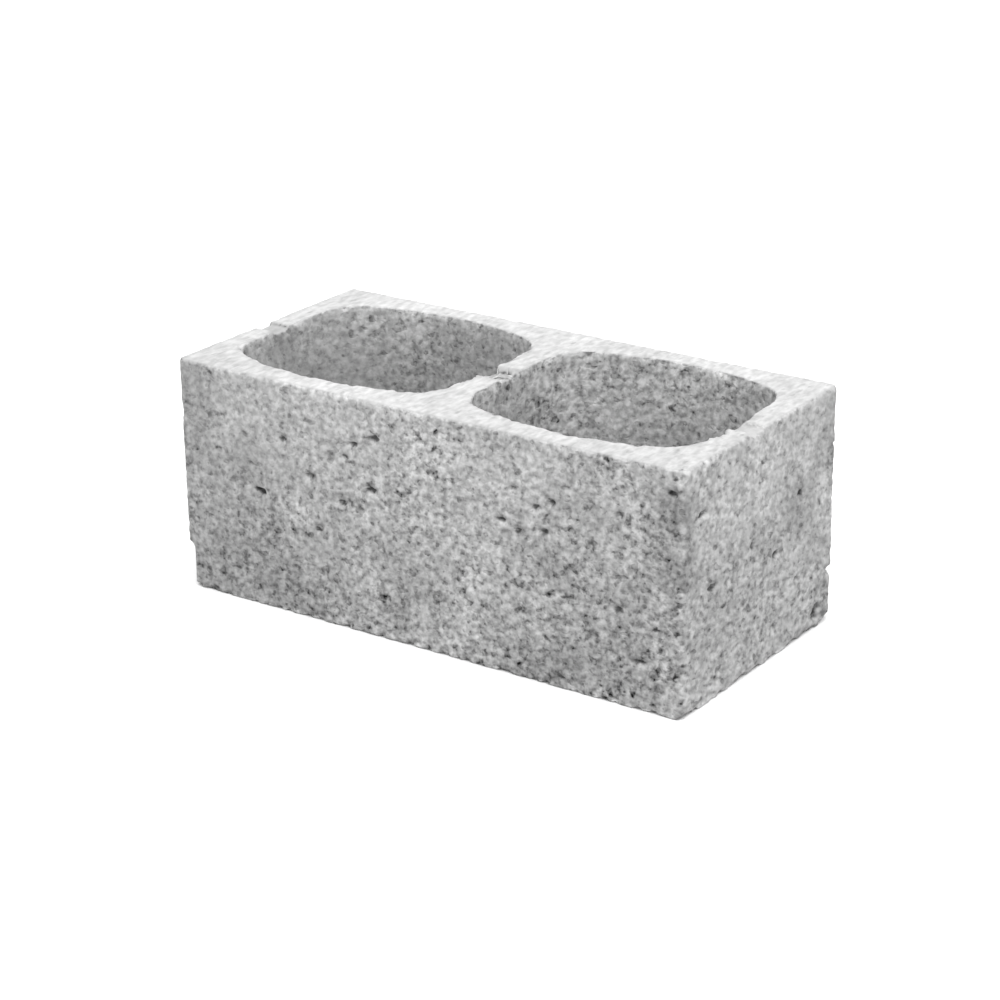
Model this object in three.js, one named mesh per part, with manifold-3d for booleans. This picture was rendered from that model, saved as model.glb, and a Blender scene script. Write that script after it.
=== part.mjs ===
// Hollow concrete block with two core holes and flat ends.
//
// Damp, stiff concrete is shaken down in a steel box, around two cores that hang from a flat bar laid
// across the top of the box. Box and cores are then drawn upwards off the fresh block. So each hole is
// a barrel in plan and narrows downwards, the walls are thinnest at the upper bed, and the bar leaves
// one shallow groove across the tops of the three webs.
//
// Millimetres. X runs along the block, Y across it and Z up. The origin is the middle of the lower bed.

import * as THREE from 'three';
import { mergeVertices } from 'three/addons/utils/BufferGeometryUtils.js';
import Module from 'manifold-3d';

// Outside of the block.
const blockLength = 390;
const blockWidth = 190;
const blockHeight = 162;

// Walls at the upper bed, each at its thinnest place.
const faceShell = 18.5;
const endWeb = 17.5;
const centreWeb = 19;

// Core holes. A bow is how far the middle of a side stands out beyond the ends of that side. The
// corner radius is the one at the lower bed, where the hole is tightest.
const longSideBow = 18;
const shortSideBow = 5;
const footCornerRadius = 24;
const coreDraftDegrees = 1.8;

// Outer edges. The lower bed is set down on a steel plate and stays sharp, while the upper one wears.
const uprightArrisRadius = 4;
const upperArrisRadius = 2.5;
const lowerArrisRadius = 1;

// Groove that the core bar leaves. The bar lay off centre, towards the front. On the middle web the lip
// behind it has broken away.
const coreBarWidth = 18;
const coreBarSideLean = 2;
const coreBarDepth = 3;
const coreBarOffCentre = 7;
const brokenLipReach = 5;

// Places where an upright arris has been knocked off in handling. The signs pick the corner. Each is a
// wedge that reaches so far along the end and along the face. It runs in over its lowest `runIn` and out
// over its highest `runOut`. A run of 0 leaves that end of the wedge open through the bed.
const knockedPlaces = [
  { endSign: -1, faceSign: -1, from: 0, to: 31.5, alongEnd: 10.5, alongFace: 7, runIn: 0, runOut: 1.5 },
  { endSign: -1, faceSign: -1, from: 0, to: 6, alongEnd: 15, alongFace: 11, runIn: 0, runOut: 5 },
  { endSign: 1, faceSign: 1, from: 29, to: 39, alongEnd: 11, alongFace: 8, runIn: 6, runOut: 1.5 },
  { endSign: 1, faceSign: 1, from: 0, to: 7, alongEnd: 16, alongFace: 10, runIn: 0, runOut: 6 },
  {
    endSign: 1,
    faceSign: -1,
    from: blockHeight - 14,
    to: blockHeight,
    alongEnd: 7,
    alongFace: 8,
    runIn: 13,
    runOut: 0,
  },
];

// Facets on each kind of arc.
const sideSteps = 16;
const cornerSteps = 8;
const arrisSteps = 6;
const bedArrisSteps = 3;

// Cutters run this far past the faces that they open.
const overrun = 1;

const halfLength = blockLength / 2;
const halfWidth = blockWidth / 2;
const coreHalfLength = (halfLength - endWeb - centreWeb / 2) / 2;
const coreHalfWidth = halfWidth - faceShell;
const coreCentre = centreWeb / 2 + coreHalfLength;
const coreLean = Math.tan(THREE.MathUtils.degToRad(coreDraftDegrees));
const topCornerRadius = footCornerRadius + blockHeight * coreLean;
const coreBarFront = -coreBarOffCentre - coreBarWidth / 2;
const coreBarBack = -coreBarOffCentre + coreBarWidth / 2;

// Points along an arc, both ends included.
function arcPoints(centreX, centreY, radius, fromAngle, toAngle, steps) {
  const arc = new THREE.EllipseCurve(centreX, centreY, radius, radius, fromAngle, toAngle);
  return arc.getPoints(steps);
}

// Outline of the block, a rectangle with round corners, drawn in by `inset` all round.
function blockOutline(inset) {
  const points = [];
  const quarters = [[1, 1], [-1, 1], [-1, -1], [1, -1]];
  quarters.forEach(([signX, signY], turn) => {
    points.push(...arcPoints(
      signX * (halfLength - uprightArrisRadius),
      signY * (halfWidth - uprightArrisRadius),
      uprightArrisRadius - inset,
      turn * Math.PI / 2,
      (turn + 1) * Math.PI / 2,
      arrisSteps,
    ));
  });
  return points;
}

// Radius of an arc that rises by `bow` over half of its chord.
function bowRadius(halfChord, bow) {
  return (halfChord * halfChord + bow * bow) / (2 * bow);
}

// Outline of one core hole about its own middle, drawn in by `inset` all round. Each side is a shallow
// arc, and each corner is an arc that lies inside the two side arcs and touches both. Drawing in keeps
// every arc's centre and shortens its radius, so all heights of the core have matching points.
function coreOutline(inset) {
  const longRadius = bowRadius(coreHalfLength, longSideBow);
  const shortRadius = bowRadius(coreHalfWidth, shortSideBow);
  const longCentreY = coreHalfWidth - longRadius;
  const shortCentreX = coreHalfLength - shortRadius;

  // The corner's centre is where circles about the two side centres cross.
  const apart = Math.hypot(shortCentreX, longCentreY);
  const reachShort = shortRadius - topCornerRadius;
  const reachLong = longRadius - topCornerRadius;
  const along = (reachShort ** 2 - reachLong ** 2 + apart ** 2) / (2 * apart);
  const aside = Math.sqrt(reachShort ** 2 - along ** 2);
  const unitX = -shortCentreX / apart;
  const unitY = longCentreY / apart;
  const cornerX = shortCentreX + unitX * along - unitY * aside;
  const cornerY = unitY * along + unitX * aside;

  const shortEnd = Math.atan2(cornerY, cornerX - shortCentreX);
  const longEnd = Math.atan2(cornerY - longCentreY, cornerX);
  const cornerRadius = topCornerRadius - inset;
  const halfTurn = Math.PI;
  const arcs = [
    arcPoints(shortCentreX, 0, shortRadius - inset, -shortEnd, shortEnd, sideSteps),
    arcPoints(cornerX, cornerY, cornerRadius, shortEnd, longEnd, cornerSteps),
    arcPoints(0, longCentreY, longRadius - inset, longEnd, halfTurn - longEnd, sideSteps),
    arcPoints(-cornerX, cornerY, cornerRadius, halfTurn - longEnd, halfTurn - shortEnd, cornerSteps),
  ];

  // Each arc ends where the next one starts. The other half is this one turned half round.
  const half = arcs.flatMap((arc) => arc.slice(0, -1));
  return [...half, ...half.map((point) => point.clone().negate())];
}

// Closed skin through level outlines that all have as many points, from the lowest to the highest.
function loft(sections) {
  const positions = sections.flatMap(({ z, outline }) => outline.flatMap(({ x, y }) => [x, y, z]));
  const count = sections[0].outline.length;
  const faces = [];
  for (let level = 0; level + 1 < sections.length; level += 1) {
    for (let step = 0; step < count; step += 1) {
      const here = level * count + step;
      const next = level * count + (step + 1) % count;
      faces.push(here, next, next + count, here, next + count, here + count);
    }
  }

  const lidStart = (sections.length - 1) * count;
  for (const [a, b, c] of THREE.ShapeUtils.triangulateShape(sections[0].outline, [])) {
    faces.push(c, b, a);
  }
  for (const [a, b, c] of THREE.ShapeUtils.triangulateShape(sections.at(-1).outline, [])) {
    faces.push(lidStart + a, lidStart + b, lidStart + c);
  }

  const geometry = new THREE.BufferGeometry();
  geometry.setAttribute('position', new THREE.Float32BufferAttribute(positions, 3));
  geometry.setIndex(faces);
  return geometry;
}

// Sections of a quarter round along a bed, from the bed to where the sides are upright. `depth` is how
// far a section lies from the bed.
function bedRounding(radius) {
  const sections = [];
  for (let step = 0; step <= bedArrisSteps; step += 1) {
    const angle = step / bedArrisSteps * Math.PI / 2;
    const depth = radius * (1 - Math.cos(angle));
    sections.push({ depth, outline: blockOutline(radius * (1 - Math.sin(angle))) });
  }
  return sections;
}

// The full block before anything is cut: a loft whose first and last sections round the bed arrises.
function blockBody() {
  const lower = bedRounding(lowerArrisRadius).map(({ depth, outline }) => ({ z: depth, outline }));
  const upper = bedRounding(upperArrisRadius).toReversed().map(({ depth, outline }) => (
    { z: blockHeight - depth, outline }
  ));
  return loft([...lower, ...upper]);
}

// One tapered core, which runs past both beds along its own slope.
function coreBody(centreX) {
  const ends = [-overrun, blockHeight + overrun];
  const sections = ends.map((z) => ({ z, outline: coreOutline((blockHeight - z) * coreLean) }));
  return loft(sections).translate(centreX, 0, 0);
}

// A bar sunk in the top of the block between two places across it. Its sides lean, so that it lifts out.
function sunkBar(front, back, runLength) {
  const overhang = overrun * coreBarSideLean / coreBarDepth;
  const profile = new THREE.Shape([
    new THREE.Vector2(front + coreBarSideLean, blockHeight - coreBarDepth),
    new THREE.Vector2(back - coreBarSideLean, blockHeight - coreBarDepth),
    new THREE.Vector2(back + overhang, blockHeight + overrun),
    new THREE.Vector2(front - overhang, blockHeight + overrun),
  ]);
  const bar = new THREE.ExtrudeGeometry(profile, { depth: runLength, bevelEnabled: false });
  bar.rotateX(Math.PI / 2);
  bar.rotateZ(Math.PI / 2);
  return bar.translate(-runLength / 2, 0, 0);
}

// A wedge that takes off part of an upright arris. `share` is how much of its full reach it has.
function knockedOutline({ endSign, faceSign, alongEnd, alongFace }, share) {
  const reachX = alongFace * share + overrun * (1 + alongFace / alongEnd);
  const reachY = alongEnd * share + overrun * (1 + alongEnd / alongFace);
  const outerX = endSign * (halfLength + overrun);
  const outerY = faceSign * (halfWidth + overrun);
  const points = [
    new THREE.Vector2(outerX, outerY),
    new THREE.Vector2(outerX - endSign * reachX, outerY),
    new THREE.Vector2(outerX, outerY - faceSign * reachY),
  ];
  return THREE.ShapeUtils.isClockWise(points) ? points.reverse() : points;
}

function knockedBody(place) {
  const whole = knockedOutline(place, 1);
  const none = knockedOutline(place, 0);
  const foot = { z: place.from, outline: none };
  const head = { z: place.to, outline: none };
  const openFoot = { z: place.from - overrun, outline: whole };
  const openHead = { z: place.to + overrun, outline: whole };
  return loft([
    place.runIn > 0 ? foot : openFoot,
    { z: place.from + place.runIn, outline: whole },
    { z: place.to - place.runOut, outline: whole },
    place.runOut > 0 ? head : openHead,
  ]);
}

const wasm = await Module();
wasm.setup();

function toSolid(geometry) {
  geometry.deleteAttribute('normal');
  geometry.deleteAttribute('uv');
  const merged = mergeVertices(geometry);
  return new wasm.Manifold(new wasm.Mesh({
    numProp: 3,
    vertProperties: new Float32Array(merged.attributes.position.array),
    triVerts: new Uint32Array(merged.index.array),
  }));
}

function toGeometry(solid) {
  const { vertProperties, triVerts } = solid.getMesh();
  const geometry = new THREE.BufferGeometry();
  geometry.setAttribute('position', new THREE.BufferAttribute(vertProperties, 3));
  geometry.setIndex(new THREE.BufferAttribute(triVerts, 1));
  geometry.computeVertexNormals();
  return geometry;
}

const cutters = [
  coreBody(-coreCentre),
  coreBody(coreCentre),
  sunkBar(coreBarFront, coreBarBack, blockLength + 2 * overrun),
  sunkBar(-coreBarOffCentre, coreBarBack + brokenLipReach, centreWeb + 2 * overrun),
  ...knockedPlaces.map(knockedBody),
];
const blockSolid = cutters.reduce((solid, cutter) => solid.subtract(toSolid(cutter)), toSolid(blockBody()));

const concrete = new THREE.MeshStandardMaterial({ color: 0xa9a9a7, roughness: 0.95, metalness: 0 });

const block = new THREE.Mesh(toGeometry(blockSolid), concrete);
block.name = 'block';

const part = new THREE.Group();
part.add(block);

export default part;
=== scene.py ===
# %% [markdown]
# # A hollow concrete block
#
# A block like this is one casting. Damp, stiff concrete is shaken down in a steel box around two
# tapered cores, then box and cores are drawn off upwards and the block is left to harden. What the eye
# reads as concrete is not the shape, which is plain, but its skin: packed sand and small stones, open
# pores where they did not close up, arrises that crumble a little, and a few knocked corners.
#
# So this script makes the whole block again as one closed surface, fine enough to carry that skin as
# real relief, and then gives it one material for what is finer still.

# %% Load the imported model
import math
from functools import reduce
from itertools import product

import bpy
import numpy as np
from mathutils import Euler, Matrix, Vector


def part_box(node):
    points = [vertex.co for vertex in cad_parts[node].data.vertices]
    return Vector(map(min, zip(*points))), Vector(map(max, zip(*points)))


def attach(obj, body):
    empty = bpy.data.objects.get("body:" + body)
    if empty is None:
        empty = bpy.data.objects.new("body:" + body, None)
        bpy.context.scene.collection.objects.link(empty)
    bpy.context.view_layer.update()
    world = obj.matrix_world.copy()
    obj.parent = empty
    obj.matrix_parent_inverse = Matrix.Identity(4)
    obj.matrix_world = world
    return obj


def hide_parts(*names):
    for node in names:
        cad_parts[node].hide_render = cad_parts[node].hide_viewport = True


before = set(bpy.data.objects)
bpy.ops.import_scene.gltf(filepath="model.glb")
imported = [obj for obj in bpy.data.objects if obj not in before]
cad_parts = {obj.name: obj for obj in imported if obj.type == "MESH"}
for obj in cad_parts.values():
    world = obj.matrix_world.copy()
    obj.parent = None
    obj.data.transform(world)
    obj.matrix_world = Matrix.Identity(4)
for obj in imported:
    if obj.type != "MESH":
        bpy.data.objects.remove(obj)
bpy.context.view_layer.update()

# %% [markdown]
# ## The sizes of the block
#
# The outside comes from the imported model. The walls, the cores and the groove are the same named sizes
# that the model was drawn with. All shapes below are worked out in millimetres, which suits fine relief,
# and one factor turns them into metres at the very end.

# %% Sizes in millimetres
MM = 0.001

_, block_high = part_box("block")
half_length, half_width, height = np.array([block_high.x, block_high.y, block_high.z]) / MM

# the walls, each at its thinnest place on the upper bed
face_shell = 18.5
end_web = 17.5
centre_web = 19.0

# the barrel shape of a core, and its draft in degrees
long_side_bow = 18.0
short_side_bow = 5.0
foot_corner_radius = 24.0
core_draft = 1.8

# the rounded edges
upright_arris_radius = 4.0
upper_arris_radius = 2.5
lower_arris_radius = 1.0
core_rim_radius = 1.5

# the groove that the core bar leaves
core_bar_width = 18.0
core_bar_side_lean = 2.0
core_bar_depth = 3.0
core_bar_off_centre = 7.0
broken_lip_reach = 5.0

core_lean = math.tan(math.radians(core_draft))
core_bar_front = -core_bar_off_centre - core_bar_width / 2
core_bar_back = -core_bar_off_centre + core_bar_width / 2
broken_lip = core_bar_back + broken_lip_reach
core_half_length = (half_length - end_web - centre_web / 2) / 2
core_half_width = half_width - face_shell
core_centre = centre_web / 2 + core_half_length
print("each core hole:", 2 * core_half_length, "by", 2 * core_half_width, "mm at the upper bed")

# %% [markdown]
# ## The outline of a core hole
#
# In plan a core hole is a barrel: two long bowed sides, two short ones that are nearly straight, and
# four corners whose arcs touch their neighbours from inside. Lower down the same outline is simply
# drawn in, because every wall leans by the same angle.
#
# It could be sampled from a curve object. A formula is better here, because the same question is asked
# for every height and direction at once: how far is the wall from the middle of the hole? A ray meets a
# circle where a quadratic says so, and symmetry folds all four quarters into one.

# %% The arcs of a core hole


def bow_radius(half_chord, bow):
    """Radius of an arc that rises by `bow` over half its chord: (half chord^2 + bow^2) / (2 bow)."""
    return (half_chord**2 + bow**2) / (2 * bow)


def heading(vector):
    """Direction of a vector in plan, as an angle from the x axis."""
    return math.atan2(vector[1], vector[0])


def crossing(first, first_reach, second, second_reach):
    """The point to the left of the line first-second that is at the given reach from each of the two.

    It lies (reach 1^2 - reach 2^2 + d^2) / 2d along that line of length d. Pythagoras tells how far aside.
    """
    line = second - first
    apart = np.hypot(*line)
    along = (first_reach**2 - second_reach**2 + apart**2) / (2 * apart)
    aside = math.sqrt(first_reach**2 - along**2)
    return first + (along * line + aside * np.array([-line[1], line[0]])) / apart


long_radius = bow_radius(core_half_length, long_side_bow)
short_radius = bow_radius(core_half_width, short_side_bow)
corner_radius = foot_corner_radius + height * core_lean
long_middle = np.array([0, core_half_width - long_radius])
short_middle = np.array([core_half_length - short_radius, 0])
corner_middle = crossing(
    short_middle, short_radius - corner_radius, long_middle, long_radius - corner_radius
)
short_side_ends = heading(corner_middle - short_middle)
long_side_ends = heading(corner_middle - long_middle)
print("radii of a core hole:", [round(r) for r in (long_radius, short_radius, corner_radius)], "mm")

# %% Distance from the middle of a core hole to its wall


def core_reach(angle, inset):
    """How far the wall is from the middle of its hole, in the direction `angle`, drawn in by `inset`.

    A ray from the middle leaves a circle at distance d.c + sqrt((d.c)^2 - |c|^2 + r^2), where d is the
    ray's direction and c the circle's centre. Where on its own circle the ray comes out tells which of
    the three arcs counts. A circle that the ray misses gets a zero under the root, and never counts.
    """
    across, up = np.abs(np.cos(angle)), np.abs(np.sin(angle))

    def leave(middle, radius):
        toward = across * middle[0] + up * middle[1]
        below_root = toward**2 - middle @ middle + (radius - inset) ** 2
        reach = toward + np.sqrt(np.maximum(below_root, 0))
        turn = np.arctan2(up * reach - middle[1], across * reach - middle[0])
        return reach, turn

    short_reach, short_turn = leave(short_middle, short_radius)
    long_reach, long_turn = leave(long_middle, long_radius)
    corner_reach, _ = leave(corner_middle, corner_radius)
    reach = np.where(long_turn > long_side_ends, long_reach, corner_reach)
    return np.where(short_turn < short_side_ends, short_reach, reach)


# the corner of a hole is where its corner arc has turned by 45 degrees
corner_direction = heading(corner_middle + corner_radius * math.sqrt(0.5))
print("corner of a core hole lies at", round(math.degrees(corner_direction), 1), "degrees")

# %% [markdown]
# ## One surface for the whole block
#
# Half of the block is a square ring round one hole. Cut it across anywhere and the section is the same
# closed loop: up the outside, over the upper bed, down the wall of the hole and back under the lower
# bed. So half a block is a grid that closes on itself both ways. Its columns stand round the hole and
# its rows run round the section.
#
# A cube with two holes cut in it would have the same shape, but long thin faces that can't carry relief.
# The columns come first, and one stands on every edge of the groove, so that it can be pressed in later.

# %% Places of the columns along each side
fine_step = 1.9
coarse_step = 2.6
web_step = 2.6

floor_front = core_bar_front + core_bar_side_lean
arris_x = half_length - upright_arris_radius
arris_y = half_width - upright_arris_radius
web_end = half_width - upper_arris_radius - web_step


def stations(marks, step):
    """Places from mark to mark, evenly spaced and never more than `step` apart. The last mark is left out."""
    runs = []
    for start, stop in zip(marks, marks[1:]):
        count = math.ceil(abs(stop - start) / step)
        runs.append(np.linspace(start, stop, count, endpoint=False))
    return np.concatenate(runs)


front_x = stations([0, arris_x], fine_step)
end_y = stations(
    [-arris_y, core_bar_front, floor_front, core_bar_back - core_bar_side_lean, core_bar_back, arris_y],
    fine_step,
)
back_x = stations([arris_x, 0], coarse_step)
web_y = stations(
    [web_end, broken_lip, broken_lip - core_bar_side_lean, floor_front, core_bar_front, -web_end],
    web_step,
)
print("columns:", len(front_x), "in front,", len(end_y), "on the end,", len(web_y), "on the middle web")

# %% Columns: points round the outside of half the block
arris_columns = 5


def arris(sign_y, angles):
    """Points of a rounded upright arris, and the directions that point into the block from there."""
    out = np.stack([np.cos(angles), sign_y * np.sin(angles)], axis=1)
    return np.array([arris_x, sign_y * arris_y]) + upright_arris_radius * out, -out


def straight(x, y, inward):
    """Points of a straight run, all with the same direction into the block."""
    points = np.stack(np.broadcast_arrays(x, y), axis=1).astype(float)
    return points, np.tile(np.array(inward, float), (len(points), 1))


# columns on the middle plane stay in place, apart from the one at either face
arris_angles = np.linspace(0, math.pi / 2, arris_columns, endpoint=False)
runs = [
    straight(front_x, -half_width, (0, 1)),
    arris(-1, math.pi / 2 - arris_angles),
    straight(half_length, end_y, (-1, 0)),
    arris(1, arris_angles),
    straight(back_x, half_width, (0, -1)),
    straight(0, [half_width], (0, -1)),
    straight(0, np.append(web_y, -web_end), (0, 0)),
]
edge = np.concatenate([points for points, _ in runs])
inward = np.concatenate([directions for _, directions in runs])
print(len(edge), "columns round each hole")

# %% Where each column meets the hole


def facing(points):
    """Direction in which each column meets the hole.

    On the short sides a column runs straight on, as the groove does, and turns towards the corner of the
    hole only near it. On the long sides the columns spread evenly.
    """
    x, y = (points - [core_centre, 0]).T
    side_reach = np.where(x > 0, half_length - core_centre, core_centre)
    short_side = np.abs(x) * half_width > np.abs(y) * side_reach
    share = core_half_length * math.tan(corner_direction) / half_width
    on_short_y = y * (1 - (1 - share) * (y / half_width) ** 2)
    on_long_x = x / side_reach * core_half_width / math.tan(corner_direction)
    return np.where(
        short_side,
        np.arctan2(on_short_y, np.sign(x) * core_half_length),
        np.arctan2(np.sign(y) * core_half_width, on_long_x),
    )


angle = facing(edge)
print("columns", round(360 / len(angle), 1), "degrees apart")

# %% [markdown]
# ## The rows of the section
#
# The edges of the real block are worn a little round. A Bevel modifier could round a plain loft, but it
# would break up the even grid that the relief needs. So the rounds are rows like all others, each at
# its own height and drawn in by its own amount.

# %% Rows: outside the block and inside the hole


def rows_outside(inset, z):
    """Rows on the outside of the block: the edge drawn in by `inset`, at height z."""
    inset, z = np.broadcast_arrays(np.atleast_1d(inset), z)
    plan = edge + inward * inset[:, None, None]
    return np.dstack([plan, np.broadcast_to(z[:, None], plan.shape[:2])])


def rows_inside(outset, z):
    """Rows on the wall of the hole, which leans with the height, set back into the concrete by `outset`."""
    outset, z = np.broadcast_arrays(np.atleast_1d(outset), z)
    reach = core_reach(angle, ((height - z) * core_lean)[:, None]) + outset[:, None]
    x = core_centre + reach * np.cos(angle)
    return np.dstack([x, reach * np.sin(angle), np.broadcast_to(z[:, None], x.shape)])


print("walls of a hole lean in by", round(height * core_lean, 1), "mm")

# %% The closed section, row by row
outer_rows = 76
bed_rows = 9
wall_rows = 46
round_steps = 2


def ring():
    """The grid of half a block, as rows by columns by three.

    The rows follow each other like this: outside, round arris, bed, round rim, wall of the hole, and
    the same back along the lower bed. On a quarter round a row has moved r (1 - cos turn) one way and
    still has r (1 - sin turn) to go the other way. A bed is a straight blend from arris to rim.
    """
    turn = np.linspace(0, math.pi / 2, round_steps + 1)[1:-1]
    gone, left = 1 - np.cos(turn), 1 - np.sin(turn)
    upper_r, lower_r, rim_r = upper_arris_radius, lower_arris_radius, core_rim_radius
    bed_blend = np.linspace(0, 1, bed_rows + 1)[:, None, None]
    upper_arris, upper_rim = rows_outside(upper_r, height), rows_inside(rim_r, height)
    lower_rim, lower_arris = rows_inside(rim_r, 0), rows_outside(lower_r, 0)
    return np.concatenate([
        rows_outside(0, np.linspace(lower_r, height - upper_r, outer_rows + 1)),
        rows_outside(upper_r * gone, height - upper_r * left),
        upper_arris + bed_blend * (upper_rim - upper_arris),
        rows_inside(rim_r * left, height - rim_r * gone),
        rows_inside(0, np.linspace(height - rim_r, rim_r, wall_rows + 1)),
        rows_inside(rim_r * gone, rim_r * left),
        lower_rim + bed_blend * (lower_arris - lower_rim),
        rows_outside(lower_r * left, lower_r * gone),
    ])


right_half = ring()
rows, columns = right_half.shape[:2]
print("each half:", rows, "rows by", columns, "columns")

# %% [markdown]
# ## Two halves, one skin
#
# Two rings side by side make the block, and the real one has no seam between them. A Mirror modifier
# would keep the faces that both have on the plane in the middle, inside the concrete. Here those are
# left out first, and the edges that are left there fit point for point.

# %% Two rings become one closed skin
weld_decimals = 3
mirror = [-1, 1, 1]


def grid_faces(rows, columns):
    """Quads of a grid that closes on itself both ways, as four corner numbers each."""
    number = np.arange(rows * columns).reshape(rows, columns)
    right, below = np.roll(number, -1, axis=1), np.roll(number, -1, axis=0)
    across = np.roll(right, -1, axis=0)
    return np.stack([number, right, across, below], axis=-1).reshape(-1, 4)


def weld(points, faces):
    """Gives points in the same place one number, and drops points that no face uses."""
    places, number = np.unique(np.round(points, weld_decimals), axis=0, return_inverse=True)
    faces = number.reshape(-1)[faces]
    used, compact = np.unique(faces, return_inverse=True)
    return places[used], compact.reshape(-1, 4)


half_points = right_half.reshape(-1, 3)
half_faces = grid_faces(rows, columns)
on_middle_plane = np.isclose(half_points[half_faces][:, :, 0], 0).all(axis=1)
half_faces = half_faces[~on_middle_plane]

both_points = np.concatenate([half_points, half_points * mirror])
both_faces = np.concatenate([half_faces, half_faces[:, ::-1] + len(half_points)])
smooth_points, faces = weld(both_points, both_faces)
print(len(smooth_points), "points,", 2 * len(faces), "triangles")

# %% [markdown]
# ## The groove of the core bar
#
# The bar that holds the cores presses one shallow groove into the tops of the three webs. It lay a little
# off centre, and on the middle web the lip behind it has broken away. A boolean cut would break up the
# even grid. Squeezing the top 20 mm of the block down where the bar lay keeps every row and column, and
# it dips the outer border of each end too, as the real groove does.

# %% Press the groove
squeezed_depth = 20.0
groove_edge_wear = 0.4


def smooth_step(value, start=0, stop=1):
    """0 at `start`, 1 at `stop`, and 3s^2 - 2s^3 between, where s is the share of the way."""
    share = np.clip((value - start) / (stop - start), 0, 1)
    return share * share * (3 - 2 * share)


def groove_share(points):
    """1 on the floor of the groove, falling to 0 along its leaning sides, whose edges are worn round."""
    x, y = points[:, 0], points[:, 1]
    back = np.where(np.abs(x) < core_centre, broken_lip, core_bar_back)
    from_edge = np.minimum(y - core_bar_front, back - y)
    return smooth_step(from_edge, -groove_edge_wear, core_bar_side_lean + groove_edge_wear)


def press_groove(points):
    """Lowers the groove by its depth times a share that is 1 on top and 0 where the squeezing ends."""
    share = np.clip((points[:, 2] - height + squeezed_depth) / squeezed_depth, 0, 1)
    points = points.copy()
    points[:, 2] -= core_bar_depth * groove_share(points) * share
    return points


pressed = press_groove(smooth_points)
on_floor = groove_share(smooth_points) == 1
print("groove floor at", pressed[on_floor, 2].max(), "mm")

# %% [markdown]
# ## Numbers that look like sand
#
# Relief needs noise, and noise in space rather than on a sheet: then it runs round every arris without
# a seam, and no face repeats another. Smooth noise blends random numbers on a lattice, for swells and
# roughness. Scattered points, one somewhere in each lattice cell, give the distance to the nearest of
# them, for stones and pits. Blender's own noise would have to be asked point by point. In numpy all are
# done at once.

# %% Smooth noise in space
lattice_size = 64


def smooth_noise(points, grain, seed):
    """Random numbers from -1 to 1 on a lattice `grain` wide, blended between its corners by a smooth step."""
    lattice = np.random.default_rng(seed).uniform(-1, 1, (lattice_size,) * 3)
    scaled = points / grain
    cell = np.floor(scaled).astype(int)
    blend = smooth_step(scaled - cell)
    noise = np.zeros(len(points))
    for corner in product((0, 1), repeat=3):
        weight = np.where(np.array(corner) == 1, blend, 1 - blend).prod(axis=1)
        noise += weight * lattice[tuple(((cell + corner) % lattice_size).T)]
    return noise


def mixed_noise(points, layers):
    """A sum of smooth noises. Each layer is a grain, a weight and a seed."""
    return sum(weight * smooth_noise(points, grain, seed) for grain, weight, seed in layers)


def rough_noise(points, grains, seed):
    """Smooth noises of several grains, each weighing as much as its grain is wide, and all together 1."""
    return mixed_noise(points, [(g, g / sum(grains), seed + i) for i, g in enumerate(grains)])


# %% Scattered points in space


def nearest_scattered(points, spacing, seed):
    """Distance to the nearest of scattered points, one in each lattice cell, and that point's own number."""
    random = np.random.default_rng(seed)
    place = random.uniform(0, 1, (lattice_size,) * 3 + (3,))
    own_number = random.uniform(0, 1, (lattice_size,) * 3)
    scaled = points / spacing
    cell = np.floor(scaled).astype(int)
    nearest = np.full(len(points), np.inf)
    number = np.zeros(len(points))
    for step in product((-1, 0, 1), repeat=3):
        there = cell + step
        index = tuple((there % lattice_size).T)
        away = np.linalg.norm(there + place[index] - scaled, axis=1)
        number = np.where(away < nearest, own_number[index], number)
        nearest = np.minimum(away, nearest)
    return nearest * spacing, number


# %% [markdown]
# ## Open and closed patches
#
# Damp concrete does not fill its box evenly. Here the stones stand open, and a hand further on paste has
# closed the surface and left it smooth. Noise in the material could vary the contrast, but not the
# relief. This is worked out once for every point, and the material gets it as an attribute, so that what
# is rough in shape is rough in colour too.

# %% Depth from the sides, and patches that fade out
outside_ends = 8
holes_begin = 16
bed_fade = 4


def depth_in(points):
    """How far in each point lies from the nearest of the block's four sides."""
    return np.minimum(half_length - np.abs(points[:, 0]), half_width - np.abs(points[:, 1]))


def in_hole(points):
    """1 on the walls of the two holes and 0 outside, which tells them apart by how far in they lie."""
    below_bed = height - points[:, 2]
    return smooth_step(depth_in(points), outside_ends, holes_begin) * smooth_step(below_bed, 0, bed_fade)


def bell(distance, width):
    """1 at distance 0, and e to the power of -(distance / width)^2 further away."""
    return np.exp(-((distance / width) ** 2))


def patch(points, middle, radius):
    """A round patch: the bell of the distance from its middle."""
    return bell(np.linalg.norm(points - middle, axis=1), radius)


# %% Openness of each point
usual_openness = 0.58
opening_noises = [(60, 0.28, 1235), (18, 0.25, 12)]
more_along = 0.24
more_at_foot = 0.50
less_on_ends = 0.50
less_in_holes = 0.15
open_corner = (190, -half_width, 115)
open_corner_radius = 28
more_at_corner = 0.35


def openness(points):
    """From 0, closed by paste, to 1, wide open: two noises, and a bias by place.

    The outside is more open towards the foot, where the shaking packs it less, and one way along. The
    ends of the block are closed the most, and the holes a little. A patch by one corner is more open.
    """
    x, y, z = points.T
    on_end = smooth_step(np.abs(x), half_length - 2, half_length)
    on_end *= smooth_step(half_width - np.abs(y), 1, 5)
    inside = in_hole(points)
    towards_foot = (0.5 - z / height) * (1 - inside)
    bias = more_along * x / half_length + more_at_foot * towards_foot
    bias -= less_on_ends * on_end + less_in_holes * inside
    bias += more_at_corner * patch(points, open_corner, open_corner_radius)
    return np.clip(usual_openness + bias + mixed_noise(points, opening_noises), 0, 1)


open_texture = openness(pressed)
print("openness", open_texture.mean().round(2), "on average")

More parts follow.
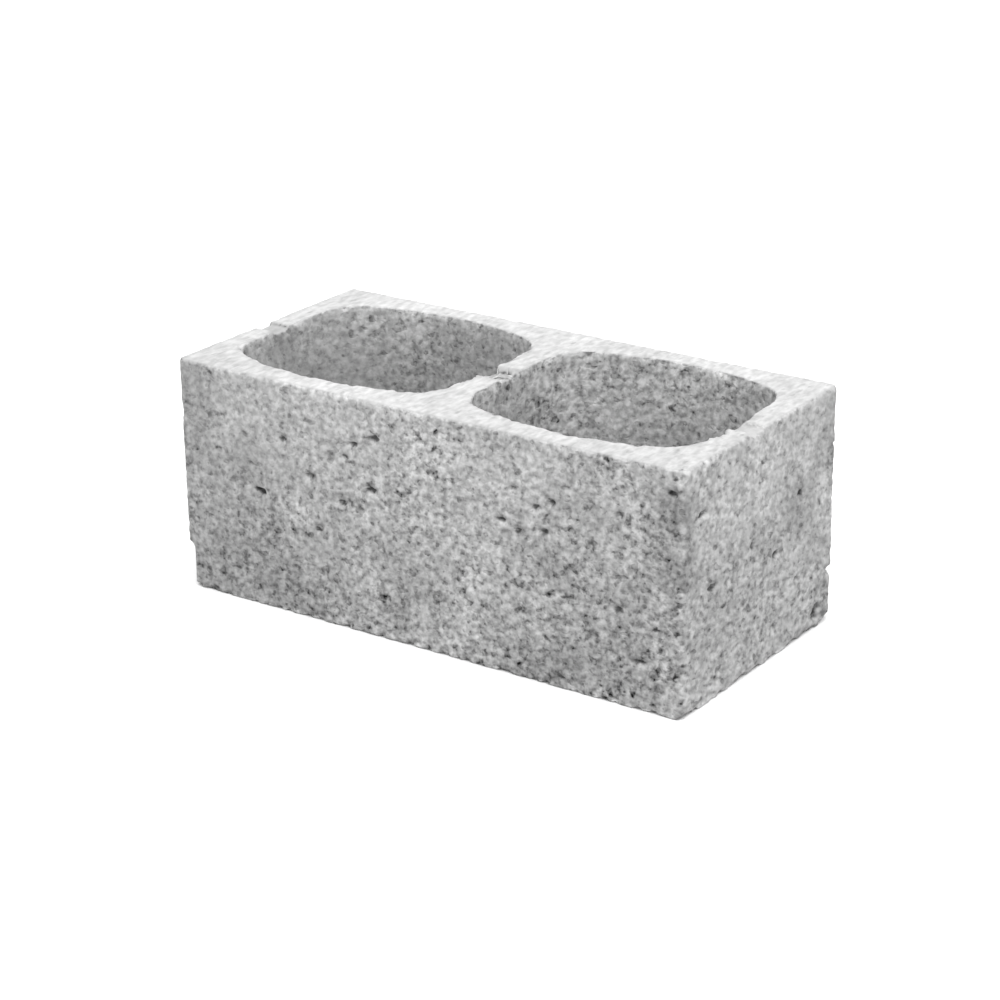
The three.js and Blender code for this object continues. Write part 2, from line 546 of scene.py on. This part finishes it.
# %% [markdown]
# ## Sand and stones
#
# The skin is small stones, packed and shaken flat against the steel, with sand between them. A Displace
# modifier could raise them from a picture. A depth below the true surface can be measured, and nothing
# ever stands outside the block. Each stone is a scattered point with its own depth, and the skin falls
# off around it. Bending space with a little noise first makes round stones ragged.

# %% Sand and packed stones
sand_depth = 0.25
sand_grains = [9, 5, 3]
stone_depth = 0.7
stone_spacing = 4.8
stone_reach = 0.75 * stone_spacing
stone_flatness = 1.25
# parts of a stone's depth: its own, and what is left where paste has closed the skin
own_part = 0.4
closed_part = 0.25
ragged_grain = 3.5


def bent(points, by=1.0):
    """The points moved about by smooth noise, so that what is round comes out ragged."""
    shifts = [smooth_noise(points, ragged_grain, seed=71 + axis) for axis in range(3)]
    return points + by * np.stack(shifts, axis=1)


def sand(points):
    """Fine unevenness, from nothing to the full depth of the sand."""
    return sand_depth * (0.5 - 0.5 * rough_noise(points, sand_grains, seed=11))


def stones(points):
    """Packed stones, which lie flat: each has its own depth and falls off with the distance squared."""
    flat = bent(points, by=0.8) * [1, 1, stone_flatness]
    away, number = nearest_scattered(flat, stone_spacing, seed=23)
    fall = np.clip(away / stone_reach, 0, 1) ** 2
    opened = closed_part + (1 - closed_part) * open_texture
    return stone_depth * opened * ((1 - own_part) * fall + own_part * number)


grain_depth = sand(pressed) + stones(pressed)
print("sand and stones lie", grain_depth.mean().round(2), "mm deep on average")

# %% [markdown]
# ## Pits
#
# Where the mix bridged a gap or a bubble stayed, the skin has a ragged pit. Booleans would need a solid
# for each, and a bowl added to the depth is the same pit. The small ones come from scattered points, and
# the larger ones, which catch the eye, are placed one by one.

# %% Small pits, scattered
pit_spacing = 11.0
pit_depth = 1.4
# a point's own number has to pass this to make a pit, and each unit beyond it is this much radius
pitless_part = 0.45
pit_growth = 4.4


def bowl(away, radius):
    """A pit's share of its depth: 1 in the middle, and 1 - (away / radius)^2 out to its rim."""
    return np.clip(1 - (away / radius) ** 2, 0, 1)


def scattered_pits(points):
    """Bowls where the concrete did not close up. Each scattered point has its own radius, often none."""
    away, number = nearest_scattered(bent(points, by=1.2), pit_spacing, seed=37)
    return pit_depth * bowl(away, pit_growth * np.clip(number - pitless_part, 0.01, 1))


small_pits = scattered_pits(pressed)
print("points in small pits:", int((small_pits > 0).sum()))

# %% Larger pits, one by one
front_pits = [
    # x, z, radius
    (-129, 81.5, 4.4), (-108.5, 122, 3.4), (-87.5, 101, 3.6), (-81, 64.5, 3.5), (-60.5, 88, 3.6),
    (-50, 129.5, 3.5), (-37.5, 101, 4.1), (-34, 136.5, 4.0), (63.5, 103, 3.8), (72, 126.5, 2.8),
    (76, 45.5, 3.5), (75.5, 98.5, 3.6), (88.5, 117, 3.0), (94.5, 102, 3.4), (100.5, 122.5, 3.8),
    (107, 7.5, 3.0), (148, 62.5, 4.0), (150, 125, 2.8), (165, 32.5, 3.0), (176.5, 55.5, 3.6),
    (186, 145, 3.5),
]
end_pits = [
    # y, z, radius
    (-72.5, 127, 3.6), (-60, 75.5, 4.6), (-10, 86.5, 3.4), (20, 70.5, 3.8), (49, 101.5, 3.8),
    (46, 44, 3.4), (73, 8, 3.8), (73.5, 11.5, 4.2), (74.5, 15, 3.2), (91, 122.5, 2.4),
]
# a row of pits at the foot of the groove's back wall, which the material paints dark as painted shade there
groove_pits = [
    # x, y, radius
    (-7, 5, 2.2), (-3, 5, 2.2), (1.5, 5, 2.2), (6, 5, 2.2),
]
pit_places = [(x, -half_width, z, radius) for x, z, radius in front_pits]
pit_places += [(half_length, y, z, radius) for y, z, radius in end_pits]
pit_places += [(x, y, height - core_bar_depth, radius) for x, y, radius in groove_pits]


def bowls(points, places, flatness, depth, spread):
    """The deepest of several ragged bowls. Each place is the middle of one and its radius.

    A bowl is `depth` radii deep and `spread` radii wide, and `flatness` times wider than it is high.
    """
    ragged = bent(points)
    deepest = np.zeros(len(points))
    for *middle, radius in places:
        away = np.linalg.norm((ragged - middle) * [1, 1, flatness], axis=1)
        deepest = np.maximum(deepest, depth * radius * bowl(away, spread * radius))
    return deepest


large_pits = bowls(pressed, pit_places, flatness=2, depth=0.9, spread=1.5)
print(len(pit_places), "larger pits, the deepest", large_pits.max().round(1), "mm")

# %% [markdown]
# ## Arrises
#
# The edges of a fresh block crumble, never evenly as a Bevel modifier would have it. To wear them, each
# point must know how far it is from the nearest arris: an upright one, the outer border of a bed, or
# the rim of a hole. Each is where two surfaces meet, so the distance to it is the hypotenuse of the
# distances to the two. Noise then says how much is lost.

# %% Distance to the nearest arris


def arris_distance(points):
    """Least of three hypotenuses: end and face, side and bed, wall of the hole and bed."""
    x, y, z = points.T
    from_end, from_face = half_length - np.abs(x), half_width - np.abs(y)
    from_bed = np.minimum(z, height - z)
    from_middle = np.abs(x) - core_centre
    reach = core_reach(np.arctan2(y, from_middle), (height - z) * core_lean)
    from_wall = np.hypot(from_middle, y) - reach
    return np.minimum.reduce([
        np.hypot(from_end, from_face),
        np.hypot(np.minimum(from_end, from_face), from_bed),
        np.hypot(from_wall, from_bed),
    ])


from_arris = arris_distance(smooth_points)
print("points within 3 mm of an arris:", int((from_arris < 3).sum()))

# %% Crumbled arrises
crumble_depth = 1.5
crumble_width = 2.6
usual_loss = 0.20
loss_noises = [(11, 1.1, 41), (4, 1.3, 43)]
more_loss_at_foot = 0.5
foot_reach = 6
spared_by_shoe = 0.5
shoe_reach = 8


def crumbling(points):
    """Loss along arrises, deepest on the arris itself and gone within a few millimetres.

    The outer border of the upper bed loses least, because the shoe has pressed it, and the foot of the
    right end loses most.
    """
    x, _, z = points.T
    loss = usual_loss + mixed_noise(points, loss_noises)
    end_foot = smooth_step(x, half_length - foot_reach, half_length - 2) * smooth_step(z, foot_reach, 0)
    border = smooth_step(depth_in(points), shoe_reach, 0) * smooth_step(z, height - shoe_reach, height - 2)
    loss = np.clip(loss + more_loss_at_foot * end_foot, 0, None) * (1 - spared_by_shoe * border)
    return crumble_depth * bell(from_arris, crumble_width) * loss


crumbled = crumbling(pressed)
print("arrises lose up to", crumbled.max().round(1), "mm")

# %% Chips off the rims of the holes
rim_chips = [
    # hole, side, y, below the bed, radius
    (1, 1, -30, 0, 2.6), (1, 1, -26.5, 0, 3.0), (1, 1, -23.5, 0, 3.6),
    (-1, 1, -30, 0, 2.4), (-1, 1, -25, 0, 2.6), (-1, 1, -20, 0, 2.4), (-1, 1, -3, 3, 2.6), (-1, 1, 2, 3, 3.4),
]


def on_rim(hole, side, y, below):
    """A point on the rim of a hole, on its left or right short side. `hole` and `side` are -1 or 1."""
    reach = short_middle[0] + math.sqrt(short_radius**2 - y**2)
    return hole * core_centre + side * reach, y, height - below


chip_places = [(*on_rim(*place), radius) for *place, radius in rim_chips]
chipped = bowls(pressed, chip_places, flatness=1, depth=1, spread=1.4)
print(len(chip_places), "chips, the deepest", chipped.max().round(1), "mm")

# %% [markdown]
# ## The skin sinks
#
# All of this is depth below the true surface, so it adds up to one number for each point. A Displace modifier
# could move the points by it. Done here, the depth stays at hand for the material, which paints shade into
# what lies deep. Nothing moves outwards, where the steel stood.

# %% Sink the points along their normals


def point_normals(points, faces):
    """Unit normals: the cross products of the faces' diagonals, summed at their corners."""
    a, b, c, d = (points[faces[:, i]] for i in range(4))
    face_normal = np.cross(c - a, d - b)
    summed = np.stack([
        np.bincount(faces.ravel(), np.repeat(face_normal[:, axis], 4), len(points))
        for axis in range(3)
    ], axis=1)
    return summed / np.linalg.norm(summed, axis=1, keepdims=True)


def volume(points, faces):
    """Volume inside a closed skin in cubic millimetres: a sixth of its triangles' triple products."""
    a, b, c, d = (points[faces[:, i]] for i in range(4))
    return (np.cross(a, b) * c + np.cross(a, c) * d).sum() / 6


if volume(pressed, faces) < 0:
    faces = faces[:, ::-1]
print("volume", round(volume(pressed, faces) / 1e6, 3), "litres")

skin_depth = grain_depth + np.maximum(small_pits, large_pits)
arris_loss = np.maximum(crumbled, chipped)
relief = skin_depth + arris_loss
normals = point_normals(pressed, faces)
skin = pressed - normals * relief[:, None]
print("relief from", round(relief.min(), 2), "to", round(relief.max(), 2), "mm")

# %% [markdown]
# ## Knocked corners
#
# Handling has broken the upright arrises in a few places. A break is nearly flat and slants across the
# corner. Cutting it with a boolean would leave thin slivers, so the points that stand proud of the
# slanting plane are moved back onto it instead, and a little roughness goes with them.

# %% Break the corners
knocked_places = [
    # end side, face side, from, to, reach along the end, reach along the face, run-in, run-out
    (-1, -1, 0, 31.5, 10.5, 7, 0, 1.5),
    (-1, -1, 0, 6, 15, 11, 0, 5),
    (1, 1, 29, 39, 11, 8, 6, 1.5),
    (1, 1, 0, 7, 16, 10, 0, 6),
    (1, -1, height - 14, height, 7, 8, 13, 0),
]
break_roughness = 0.5
break_grains = [6, 3]


def break_corner(points, end_side, face_side, start, stop, along_end, along_face, run_in, run_out):
    """Moves what stands proud of a slanting plane back onto it.

    With u and v the distances outwards from the corner along the face and along the end, the plane is
    u / along_face + v / along_end + share = 0. The share rises from 0 to 1 over the run-in at the foot
    of the break and falls again over the run-out at its top. A run of 0 leaves the break open there.
    """
    u = points[:, 0] * end_side - half_length
    v = points[:, 1] * face_side - half_width
    z = points[:, 2]
    slope = np.array([1 / along_face, 1 / along_end])
    rising = np.clip((z - start) / run_in, 0, 1) if run_in else 1.0
    falling = np.clip((stop - z) / run_out, 0, 1) if run_out else 1.0
    share = np.minimum(rising, falling)
    proud = (u * slope[0] + v * slope[1] + share) / np.hypot(*slope)
    proud += break_roughness * rough_noise(points, break_grains, seed=53)
    proud *= share > 0
    direction = slope / np.hypot(*slope) * [end_side, face_side]
    broken = points.copy()
    broken[:, :2] -= np.clip(proud, 0, None)[:, None] * direction
    return broken


unbroken = skin
for place in knocked_places:
    skin = break_corner(skin, *place)
broken_away = np.linalg.norm(skin - unbroken, axis=1)
print("moved by breaks:", int((broken_away > 0).sum()), "points,", broken_away.max().round(1), "mm")

# %% [markdown]
# ## Pale and dark patches
#
# The tone of a real block drifts with the water in its mix. Here it is also darker towards the foot and in
# the holes, which is painted shade, and some patches paint light and shade. Painting it would need an image
# and a map of the surface. Slow noises and a few round patches, listed one by one, do it for each point, and
# the material reads the result as an attribute.

# %% Tone of each point
tone_noises = [(45, 0.8, 66), (20, 0.6, 13), (10, 0.4, 14)]
calmer_in_holes = 0.6
painted_shade_in_holes = 0.6
painted_light_foot_reach = 3.0
painted_light_at_foot = 1.6

# Some patches are painted light and shade: the dark ones by the near upright arris, at the front right, take
# its highlight away, the dark ones in the groove paint its shade, and the pale ones low on the right end and
# in the holes paint light.
tone_patches = [
    # x, y, z of the middle, radius, how much paler, or darker if it is below 0
    (-185, -95, 150, 30, -0.8), (-65, -95, 150, 35, 1.1), (20, -95, 80, 25, 0.5), (110, -95, 85, 30, -0.7),
    (120, -95, 20, 50, -0.8), (190, -95, 125, 22, -1.0), (193, -95, 138, 14, -1.3), (192, -95, 92, 18, -1.2),
    (195, -10, 0, 75, 0.9), (195, 5, 90, 35, -0.8), (195, -75, 152, 13, 1.4), (195, 92, 112, 16, -1.3),
    (34, 66, 122, 36, 1.5), (95, 76, 152, 42, 1.3), (110, -80, 100, 60, 0.5), (-150, 67, 155, 22, 0.7),
    (-186, -7, 159, 12, -2.4), (0, -3, 159, 11, -0.9), (0, 5, 159, 5.5, -1.0),
]


def drift(points):
    """Tone of the mix, about 0: three slow noises, a rise towards the top, which paints shade towards the
    foot, and a few patches, some of them painted light and shade.

    Inside the holes the noises are weaker, and the tone is darker as painted shade. The very foot is paler,
    painted light against the contact shade there.
    """
    z, inside = points[:, 2], in_hole(points)
    tone = mixed_noise(points, tone_noises) * (1 - calmer_in_holes * inside)
    # painted shade: darker towards the foot and in the holes; painted light at the very foot
    tone += z / height - 0.5 - painted_shade_in_holes * inside + painted_light_at_foot * bell(z, painted_light_foot_reach)
    for *middle, radius, paler in tone_patches:
        tone += paler * patch(points, middle, radius)
    return tone


tone_drift = drift(pressed)
print("tone from", tone_drift.min().round(2), "to", tone_drift.max().round(2))

# %% [markdown]
# ## A twist in the grit
#
# Real grit is round bumps, and a bump looks round from any side. A pattern that is only grey looks drawn
# out where a wall is seen at a slant. Reading it a little higher or lower from place to place leans it
# the other way and takes half of that off, for the two walls that are seen from the front right. It
# falls along the front as much as it rises along the right end, so the other two walls need no lean.

# %% How much higher the pattern is read
grit_twist = 0.0009
hole_twist = 0.0014
outer_lean_ends = 4
hole_lean_begins = 14


def lean(x, y, half_x, half_y):
    """-x half_y on the side at y = -half_y and y half_x at x = half_x. The other two stay level."""
    return (half_x * half_y - half_y * x + half_x * y + x * y) / 2


def grit_lift(points):
    """The lean outside. In a hole, x is taken from its middle, and the lean is turned half way round.

    So the walls of a hole that are seen from the front right lean too. One turns into the other over the
    bed, where there is little grit to be seen.
    """
    x, y, _ = points.T
    within = smooth_step(depth_in(points), outer_lean_ends, hole_lean_begins)
    across_hole = x - np.sign(x) * core_centre
    outside = grit_twist * lean(x, y, half_length, half_width)
    in_holes = -hole_twist * lean(-across_hole, -y, core_half_length, core_half_width)
    return outside * (1 - within) + in_holes * within


lift = grit_lift(pressed)
print("grit is read up to", lift.max().round(1), "mm higher")

# %% [markdown]
# ## Put the skin into a mesh
#
# The points go in as whole arrays. Five numbers of each go along as attributes for the material: how deep it
# lies, which the material paints as shade, how open the texture is there, how pale the mix is, with painted
# light and shade in it, how much higher the grit is read, and whether it lies on the upper bed, which a steel
# shoe has pressed and which is paler, partly from dust and partly as painted light. In the groove the bed
# stayed rough, and it is darker, partly as painted shade. An image could hold them too, but only at its own
# sharpness.

# %% The block as a Blender object
mesh = bpy.data.meshes.new("concrete_block")
mesh.from_pydata(skin * MM, [], faces)
mesh.shade_smooth()
block = bpy.data.objects.new("concrete_block", mesh)
bpy.context.scene.collection.objects.link(block)
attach(block, "root")
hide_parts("block")
print(block.name, len(mesh.vertices), "points")

# %% What the material has to know of each point
deepest_shade = 4.0
deepest_arris_shade = 0.6
painted_shade_on_breaks = 0.4
rough_end_floor = 0.6
# how far a point faces upwards where the bed begins, and where it is all bed
bed_from, bed_to = 0.6, 0.95


def store(name, values):
    """One number for each point of the mesh, which a material reads by its name."""
    attribute = mesh.attributes.new(name, "FLOAT", "POINT")
    attribute.data.foreach_set("value", values.astype(np.float32))


on_break = smooth_step(broken_away)
rough_floor = np.where(np.abs(pressed[:, 0]) < centre_web, 1.0, rough_end_floor)
on_upper_bed = smooth_step(normals[:, 2], bed_from, bed_to) * (1 - on_break)
on_upper_bed *= 1 - rough_floor * groove_share(smooth_points)

# painted shade: the deeper a point lies in grit, pits and crumbled arrises, the darker the material paints it
painted_shade_depth = np.clip((skin_depth + np.minimum(arris_loss, deepest_arris_shade)) / deepest_shade, 0, 1)
store("painted_shade_depth", painted_shade_depth)
store("open_texture", open_texture)
# the breaks are painted darker, painted shade where they would catch the light
store("tone_drift", tone_drift - painted_shade_on_breaks * on_break)
store("upper_bed", on_upper_bed)
store("grit_lift", lift * MM)
print("points on the upper bed:", int((on_upper_bed > 0.5).sum()))

# %% [markdown]
# ## Node helpers
#
# A material in code is a list of nodes and wires. Small helpers keep that list short enough to read.
# Each takes numbers or other nodes' outputs, and adds a node or a chain of them.

# %% Helpers that add one node


def connect(tree, value, socket):
    """Wires an output to the socket, or sets the socket to a number, a vector or a colour."""
    if isinstance(value, bpy.types.NodeSocket):
        tree.links.new(value, socket)
    else:
        socket.default_value = value


def add(tree, kind, settings=(), **inputs):
    """Adds a shader node. `settings` are pairs for its own fields, the rest are its inputs by name."""
    node = tree.nodes.new("ShaderNode" + kind)
    for field, value in settings:
        setattr(node, field, value)
    for name, value in inputs.items():
        connect(tree, value, node.inputs[name.replace("_", " ")])
    return node


def calc(tree, operation, *values, kind="Math"):
    """A Math node, or a Vector Math node."""
    node = add(tree, kind, [("operation", operation)])
    for value, socket in zip(values, node.inputs):
        connect(tree, value, socket)
    return node.outputs[0]


def ramp(tree, value, low, high, to_low=0.0, to_high=1.0):
    """A smooth Map Range node: `low` to `high` becomes `to_low` to `to_high`."""
    node = add(
        tree, "MapRange", [("interpolation_type", "SMOOTHSTEP")],
        Value=value, From_Min=low, From_Max=high, To_Min=to_low, To_Max=to_high,
    )
    return node.outputs["Result"]


def moved(tree, position, by):
    """The position with a vector added to it."""
    return calc(tree, "ADD", position, by, kind="VectorMath")


def scaled(tree, position, scale):
    """A Mapping node. A pattern that is read there is drawn out where the scale is below 1."""
    return add(tree, "Mapping", Vector=position, Scale=scale).outputs[0]


# %% Helpers for sums, whole trees and groups


def times(tree, *values):
    """The product of all values."""
    return reduce(lambda so_far, value: calc(tree, "MULTIPLY", so_far, value), values)


def total(tree, *values):
    """The sum of all values."""
    return reduce(lambda so_far, value: calc(tree, "ADD", so_far, value), values)


def swing(tree, value, spread):
    """A number from 0 to 1 becomes one from -spread / 2 to spread / 2."""
    return calc(tree, "MULTIPLY_ADD", value, spread, -spread / 2)


def empty_tree(owner):
    """The node tree of a material or a world, without the nodes it starts with."""
    owner.use_nodes = True
    owner.node_tree.nodes.clear()
    return owner.node_tree


def new_group(name, inputs, outputs):
    """An empty shader node group. Its sockets are given as names with their kinds."""
    tree = bpy.data.node_groups.new(name, "ShaderNodeTree")
    for side, sockets in (("INPUT", inputs), ("OUTPUT", outputs)):
        for label, kind in sockets.items():
            tree.interface.new_socket(label, in_out=side, socket_type="NodeSocket" + kind)
    entry = tree.nodes.new("NodeGroupInput").outputs
    leave = tree.nodes.new("NodeGroupOutput").inputs
    return tree, entry, leave


# %% [markdown]
# ## Grit and pores
#
# Up close concrete is grit of many greys with small pores in it, and both are ragged. Layered noise looks
# like that by itself: its values are the greys, and where a second noise falls below a low limit there is a
# pore. The material paints the shade in a pore as a darker grey. A Voronoi texture would give beads and round
# holes instead.

# %% Node group: grit with pores
darkest_value, palest_value = 0.25, 0.75
pore_edge = 0.08
pore_depth = 0.5
pores_elsewhere = (3.0, 5.0, 7.0)

gritty, entry, leave = new_group(
    "Grit with pores",
    inputs={"Position": "Vector", "Size": "Float", "Limit": "Float"},
    outputs={"Tone": "Float", "Pore": "Float", "Height": "Float"},
)
frequency = calc(gritty, "DIVIDE", 1.0, entry["Size"])


def gritty_noise(position, detail):
    """Noise in the group, as fine as its Size asks."""
    noise = add(gritty, "TexNoise", Vector=position, Scale=frequency, Detail=detail, Roughness=0.5)
    return noise.outputs[0]


grey_noise = gritty_noise(entry["Position"], 2.0)
pore_noise = gritty_noise(moved(gritty, entry["Position"], pores_elsewhere), 1.0)
pore = ramp(gritty, calc(gritty, "SUBTRACT", entry["Limit"], pore_noise), 0.0, pore_edge)
gritty.links.new(ramp(gritty, grey_noise, darkest_value, palest_value), leave["Tone"])
gritty.links.new(pore, leave["Pore"])
gritty.links.new(calc(gritty, "MULTIPLY_ADD", pore, -pore_depth, grey_noise), leave["Height"])
print("group", gritty.name, "has", len(gritty.nodes), "nodes")

# %% [markdown]
# ## The concrete
#
# Grit of two sizes carries the material. Its contrast follows how open the texture is. Over it lie the drift
# in tone, with painted light and shade in it, faint upright marks where the box slid off, and painted shade
# over whatever lies deep. On the upper bed that contrast fades and the grey is paler, partly as painted light
# from above. There the feed box has struck the concrete off, and has drawn its grit out from front to back. A
# picture of concrete would repeat, and noise does not.

# %% Greys, grit and marks
concrete_grey = 0.42
# the upper bed is paler, partly its own grey and partly painted light from above
bed_grey_and_painted_light = 0.47

# size in metres, the limit below which there is a pore, spread of the greys and painted shade of the pores
coarse_grit = dict(size=0.0064, limit=0.405, spread=0.62, pore_shade=0.38)
fine_grit = dict(size=0.0038, limit=0.405, spread=0.74, pore_shade=0.30)
struck_grit = dict(size=0.0045, limit=0.36, spread=0.30, pore_shade=0.15)
grit_scale = (1.0, 0.8, 1.1)
struck_scale = (1.0, 0.4, 1.0)
mark_scale = (1.0, 1.0, 0.06)
mark_fineness = 170.0
mark_spread = 0.14


def speckles(tree, position, size, limit, spread, pore_shade):
    """Greys about 0, less the painted shade of the pores. Returns that, and the outputs of the grit itself.
    """
    node = add(tree, "Group", [("node_tree", gritty)], Position=position, Size=size, Limit=limit)
    tone, pore = node.outputs["Tone"], node.outputs["Pore"]
    return total(tree, swing(tree, tone, spread), times(tree, pore, -pore_shade)), node.outputs


def mould_marks(tree, position):
    """Upright streaks that vary the tone about 1."""
    drawn_up = scaled(tree, position, mark_scale)
    streaks = add(tree, "TexNoise", Vector=drawn_up, Scale=mark_fineness, Detail=2.0)
    return calc(tree, "MULTIPLY_ADD", streaks.outputs[0], mark_spread, 1 - mark_spread / 2)


def stored(tree, name):
    """An attribute of the mesh, as an output."""
    return add(tree, "Attribute", [("attribute_name", name)]).outputs["Fac"]


def grey_colour(tree, grey):
    """A colour that is the same in red, green and blue."""
    return add(tree, "CombineColor", Red=grey, Green=grey, Blue=grey).outputs[0]


# %% Where the pattern is read
concrete = bpy.data.materials.new("raw concrete")
tree = empty_tree(concrete)
position = add(tree, "TexCoord").outputs["Object"]
higher = add(tree, "CombineXYZ", Z=stored(tree, "grit_lift")).outputs[0]
leaning = scaled(tree, moved(tree, position, higher), grit_scale)
coarse_speckle, coarse = speckles(tree, leaning, **coarse_grit)
fine_speckle, fine = speckles(tree, leaning, **fine_grit)
struck_speckle, _ = speckles(tree, scaled(tree, position, struck_scale), **struck_grit)
upper_bed = stored(tree, "upper_bed")
print("pattern:", len(tree.nodes), "nodes")

# %% Contrast, drift and depth make one grey
closed_contrast, open_contrast_gain, bed_contrast = 0.52, 0.62, 0.15
wall_drift, bed_drift = 0.20, 0.08
bed_fades_by = 0.4
bed_pales_from = 0.2
# painted shade begins and ends at these depths, which the grit shifts, and leaves this share of the grey
deep_from, deep_to = 0.28, 0.80
deep_shift = 0.28
deep_grey = 0.20

contrast = calc(tree, "MULTIPLY_ADD", stored(tree, "open_texture"), open_contrast_gain, closed_contrast)
contrast = times(tree, contrast, ramp(tree, upper_bed, 0.0, bed_fades_by, 1.0, bed_contrast))
speckle = times(tree, total(tree, coarse_speckle, fine_speckle), contrast)
speckled = total(tree, 1.0, speckle, times(tree, struck_speckle, upper_bed))

drifting = ramp(tree, upper_bed, 0.0, bed_fades_by, wall_drift, bed_drift)
drifted = calc(tree, "MULTIPLY_ADD", stored(tree, "tone_drift"), drifting, 1.0)
# painted shade: whatever lies deep is painted darker
depth = total(tree, stored(tree, "painted_shade_depth"), swing(tree, fine["Tone"], -deep_shift))
shaded = ramp(tree, depth, deep_from, deep_to, 1.0, deep_grey)
tone = times(tree, speckled, drifted, mould_marks(tree, position), shaded)
grey = times(tree, tone, ramp(tree, upper_bed, bed_pales_from, 1.0, concrete_grey, bed_grey_and_painted_light))
print("grey:", len(tree.nodes), "nodes")

# %% Bump and surface
coarse_bump, fine_bump = 0.6, 0.2

bumps = total(tree, times(tree, coarse["Height"], coarse_bump), times(tree, fine["Height"], fine_bump))
bump = add(tree, "Bump", Height=times(tree, bumps, contrast), Strength=1.0, Distance=MM)
surface = add(
    tree, "BsdfPrincipled", Base_Color=grey_colour(tree, grey), Normal=bump.outputs[0],
    Roughness=0.95, Specular_IOR_Level=0.25,
)
add(tree, "OutputMaterial", Surface=surface.outputs[0])
block.data.materials.append(concrete)
print(concrete.name, "has", len(tree.nodes), "nodes")

# %% [markdown]
# ## Floor
#
# To the camera the floor is white. To the light that bounces about it is a mid grey, or it would fill the
# lower halves of the walls, which on a real block stay darker. A brighter lamp could whiten the floor as
# well, but would bleach the concrete with it.

# %% Floor
floor_reach = 6.0
floor_shown = 0.9
floor_grey = 0.43


def to_camera(tree, shown, otherwise):
    """One value for what the camera sees itself, and another for all other light."""
    seen = add(tree, "LightPath").outputs["Is Camera Ray"]
    return ramp(tree, seen, 0.0, 1.0, otherwise, shown)


bpy.ops.mesh.primitive_grid_add(x_subdivisions=2, y_subdivisions=2, size=2 * floor_reach)
floor = bpy.context.object
floor.name = "floor"
pale = bpy.data.materials.new("floor")
tree = empty_tree(pale)
shade = to_camera(tree, floor_shown, floor_grey)
diffuse = add(tree, "BsdfDiffuse", Color=grey_colour(tree, shade))
add(tree, "OutputMaterial", Surface=diffuse.outputs[0])
floor.data.materials.append(pale)
print("floor", 2 * floor_reach, "m wide")

# %% [markdown]
# ## Light
#
# Soft light, mostly from above, lets the skin of the concrete do the talking. Area lamps would light the
# near corner more than the far one. A sky that is brighter overhead, and suns with wide discs, are as
# soft and the same everywhere.

# %% Sky
zenith_level = 1.10
horizon_level = 0.65
sky_shown = 1.0

world = bpy.data.worlds.new("sky")
bpy.context.scene.world = world
tree = empty_tree(world)
direction = add(tree, "TexCoord").outputs["Generated"]
rise = add(tree, "SeparateXYZ", Vector=direction).outputs["Z"]
level = add(tree, "MapRange", Value=rise, To_Min=horizon_level, To_Max=zenith_level).outputs["Result"]
sky = add(tree, "Background", Color=(1, 1, 1, 1), Strength=to_camera(tree, sky_shown, level))
add(tree, "OutputWorld", Surface=sky.outputs[0])
print("sky from", horizon_level, "to", zenith_level)

# %% Lamps


def soft_lamp(name, level, azimuth, elevation, spread):
    """A sun with a wide disc, which comes from `azimuth` degrees right of the front.

    At level 1 it lights a surface that faces it as brightly as an even sky of level 1 would.
    """
    lamp = bpy.data.lights.new(name, "SUN")
    lamp.energy = level * math.pi
    lamp.angle = math.radians(spread)
    sun = bpy.data.objects.new(name, lamp)
    sun.rotation_euler = (math.radians(90 - elevation), 0, math.radians(azimuth))
    bpy.context.scene.collection.objects.link(sun)
    print(name, "at level", level)


soft_lamp("key", level=0.75, azimuth=40, elevation=70, spread=70)
soft_lamp("side_fill", level=0.10, azimuth=75, elevation=10, spread=20)

# %% [markdown]
# ## Camera
#
# The camera stands nearly two metres away, at the right front, and looks down into the holes. A shorter
# lens close by would pull the near corner out.

# %% Camera
camera_place = (0.9613, -1.3784, 0.7253)
camera_azimuth = 34.97
camera_elevation = 21.25
camera_roll = -0.62
focal_pixels = 2735.8
picture_pixels = 1000.0

camera = bpy.data.cameras.new("camera")
camera.lens = focal_pixels / picture_pixels * camera.sensor_width
seat = bpy.data.objects.new("camera", camera)
# turned to level first, and then rolled
level = Euler((math.radians(90 - camera_elevation), 0, math.radians(camera_azimuth))).to_matrix()
roll = Euler((0, 0, math.radians(camera_roll))).to_matrix()
seat.matrix_world = (level @ roll).to_4x4()
seat.location = camera_place
bpy.context.scene.collection.objects.link(seat)
bpy.context.scene.camera = seat
print("lens", round(camera.lens, 1), "mm")
bpy.context.scene.view_settings.view_transform = "Standard"
